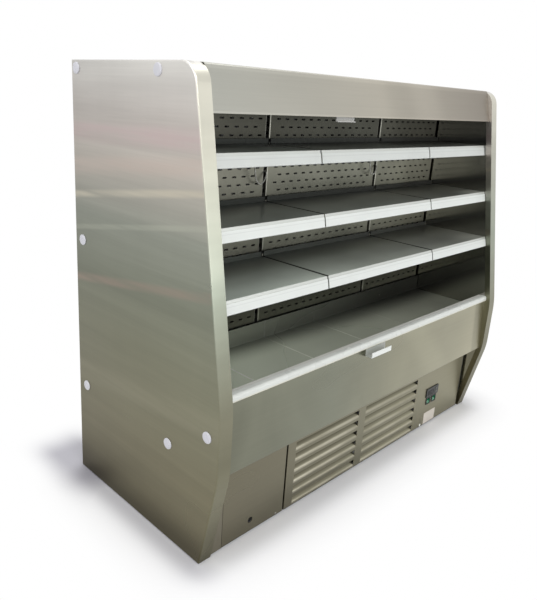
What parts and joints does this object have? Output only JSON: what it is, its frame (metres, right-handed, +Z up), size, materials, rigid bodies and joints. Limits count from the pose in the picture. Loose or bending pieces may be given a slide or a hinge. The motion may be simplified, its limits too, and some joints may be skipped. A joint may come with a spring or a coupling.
{
  "type": "open multideck display fridge",
  "caption": "Low open-fronted chilled display with bulged end panels, hooked shelves, lift-out deck pans and a roller night blind.",
  "frame": {"origin": "on the floor under the middle of the whole", "axes": "+Z up, +X to the right as seen from the open front, the open front faces -Y"},
  "size_m": [1.508, 0.681, 1.3],
  "materials": {
    "brushed_stainless": "brushed along the length, soft reflections",
    "liner_steel": "satin grey liner",
    "rear_steel": "plain galvanised rear skin",
    "cap_plastic": "pale grey plastic caps",
    "grille_aluminium": "anodised",
    "blind_cloth": "woven aluminised cloth",
    "blind_aluminium": "anodised extrusion",
    "pale_plastic": "off-white extrusion",
    "ticket_white": "bare white ticket strip",
    "back_steel": "satin grey, perforated",
    "upright_steel": "dark satin",
    "shelf_steel": "dark, smooth, softly reflecting",
    "deck_steel": "dark, smooth, softly reflecting",
    "lamp_plastic": "white lamp housing",
    "lead_white": "white flexible lead",
    "black_plastic": "black moulding",
    "key_plastic": "dark grey keys",
    "green_lens": "green translucent rocker",
    "galvanised_steel": "galvanised",
    "foot_plastic": "black foot",
    "compressor_black": "gloss black shell",
    "coil_fins": "aluminium fins",
    "fan_plastic": "black fan",
    "copper_pipe": "copper tube"
  },
  "bodies": {
    "root": {"access_panel": "brushed_stainless", "air_outlet_grille": "grille_aluminium", "back_panel_left": "back_steel", "back_panel_middle": "back_steel", "back_panel_right": "back_steel", "base_frame": "galvanised_steel", "blind_catch": "pale_plastic", "bumper_rail": "pale_plastic", "canopy_cover": "brushed_stainless", "canopy_liner": "liner_steel", "compressor": "compressor_black", "condenser_coil": "coil_fins", "controller": "black_plastic", "end_bolt_caps": "cap_plastic", "end_liner_left": "liner_steel", "end_liner_right": "liner_steel", "end_skin_left": "brushed_stainless", "end_skin_right": "brushed_stainless", "evaporator_coil": "coil_fins", "evaporator_fan_plate": "galvanised_steel", "front_panel": "brushed_stainless", "insulated_back": "rear_steel", "insulated_well": "liner_steel", "lamp_lead_left": "lead_white", "lamp_lead_right": "lead_white", "levelling_feet": "foot_plastic", "louvre_panel": "brushed_stainless", "refrigerant_pipes": "copper_pipe", "return_air_grille": "deck_steel", "rocker_housings": "black_plastic", "shelf_bottom_left": "shelf_steel", "shelf_bottom_middle": "shelf_steel", "shelf_bottom_right": "shelf_steel", "shelf_brackets": "upright_steel", "shelf_lamps": "lamp_plastic", "shelf_middle_left": "shelf_steel", "shelf_middle_middle": "shelf_steel", "shelf_middle_right": "shelf_steel", "shelf_top_left": "shelf_steel", "shelf_top_middle": "shelf_steel", "shelf_top_right": "shelf_steel", "slotted_uprights": "upright_steel", "ticket_strips": "ticket_white"},
    "blind": {"blind_bar": "blind_aluminium", "blind_handle": "pale_plastic", "blind_cloth": "blind_cloth"},
    "blind_roll": {"blind_roller": "blind_cloth"},
    "condenser_fan_rotor": {"condenser_fan": "fan_plastic"},
    "evaporator_fan_rotor_left": {"evaporator_fan_left": "fan_plastic"},
    "evaporator_fan_rotor_right": {"evaporator_fan_right": "fan_plastic"},
    "lamp_switch": {"lamp_rocker": "green_lens"},
    "fan_switch": {"fan_rocker": "green_lens"},
    "key_up": {"controller_key_up": "key_plastic"},
    "key_down": {"controller_key_down": "key_plastic"},
    "pan_1": {"deck_pan_1": "deck_steel"},
    "pan_2": {"deck_pan_2": "deck_steel"},
    "pan_3": {"deck_pan_3": "deck_steel"},
    "pan_4": {"deck_pan_4": "deck_steel"},
    "pan_5": {"deck_pan_5": "deck_steel"},
    "pan_6": {"deck_pan_6": "deck_steel"}
  },
  "joints": [
    {"name": "blind_pull", "type": "slide", "parent": "root", "child": "blind", "axis": [0, -0.1854, -0.9827], "range_m": [0, 0.73576], "stiffness_N_per_m": 20, "springref_m": -1, "deforming": ["blind_cloth"]},
    {"name": "roller_turn", "type": "hinge", "parent": "root", "child": "blind_roll", "pos_m": [0, -0.16349, 1.24], "axis": [1, 0, 0], "range_deg": [0, 1920]},
    {"name": "pan_1_lift", "type": "slide", "parent": "root", "child": "pan_1", "axis": [0, 0, 1], "range_m": [0, 0.15]},
    {"name": "pan_2_lift", "type": "slide", "parent": "root", "child": "pan_2", "axis": [0, 0, 1], "range_m": [0, 0.15]},
    {"name": "pan_3_lift", "type": "slide", "parent": "root", "child": "pan_3", "axis": [0, 0, 1], "range_m": [0, 0.15]},
    {"name": "pan_4_lift", "type": "slide", "parent": "root", "child": "pan_4", "axis": [0, 0, 1], "range_m": [0, 0.15]},
    {"name": "pan_5_lift", "type": "slide", "parent": "root", "child": "pan_5", "axis": [0, 0, 1], "range_m": [0, 0.15]},
    {"name": "pan_6_lift", "type": "slide", "parent": "root", "child": "pan_6", "axis": [0, 0, 1], "range_m": [0, 0.15]},
    {"name": "evaporator_fan_left_spin", "type": "hinge", "parent": "root", "child": "evaporator_fan_rotor_left", "pos_m": [-0.15, -0.0429, 0.3839], "axis": [0, 1, 0], "continuous": true},
    {"name": "evaporator_fan_right_spin", "type": "hinge", "parent": "root", "child": "evaporator_fan_rotor_right", "pos_m": [0.15, -0.0429, 0.3839], "axis": [0, 1, 0], "continuous": true},
    {"name": "condenser_fan_spin", "type": "hinge", "parent": "root", "child": "condenser_fan_rotor", "pos_m": [-0.185, -0.1189, 0.152], "axis": [0, 1, 0], "continuous": true},
    {"name": "lamp_switch_rock", "type": "hinge", "parent": "root", "child": "lamp_switch", "pos_m": [0.434, -0.2677, 0.109], "axis": [-1, 0, 0], "range_deg": [0, 16]},
    {"name": "fan_switch_rock", "type": "hinge", "parent": "root", "child": "fan_switch", "pos_m": [0.476, -0.2677, 0.109], "axis": [-1, 0, 0], "range_deg": [0, 16]},
    {"name": "key_up_press", "type": "slide", "parent": "root", "child": "key_up", "axis": [0, 1, 0], "range_m": [0, 0.0009], "stiffness_N_per_m": 100, "springref_m": -0.003},
    {"name": "key_down_press", "type": "slide", "parent": "root", "child": "key_down", "axis": [0, 1, 0], "range_m": [0, 0.0009], "stiffness_N_per_m": 100, "springref_m": -0.003}
  ],
  "couplings": [
    {"joint": "roller_turn", "follows": "blind_pull", "rad_per_m": 45.455}
  ]
}
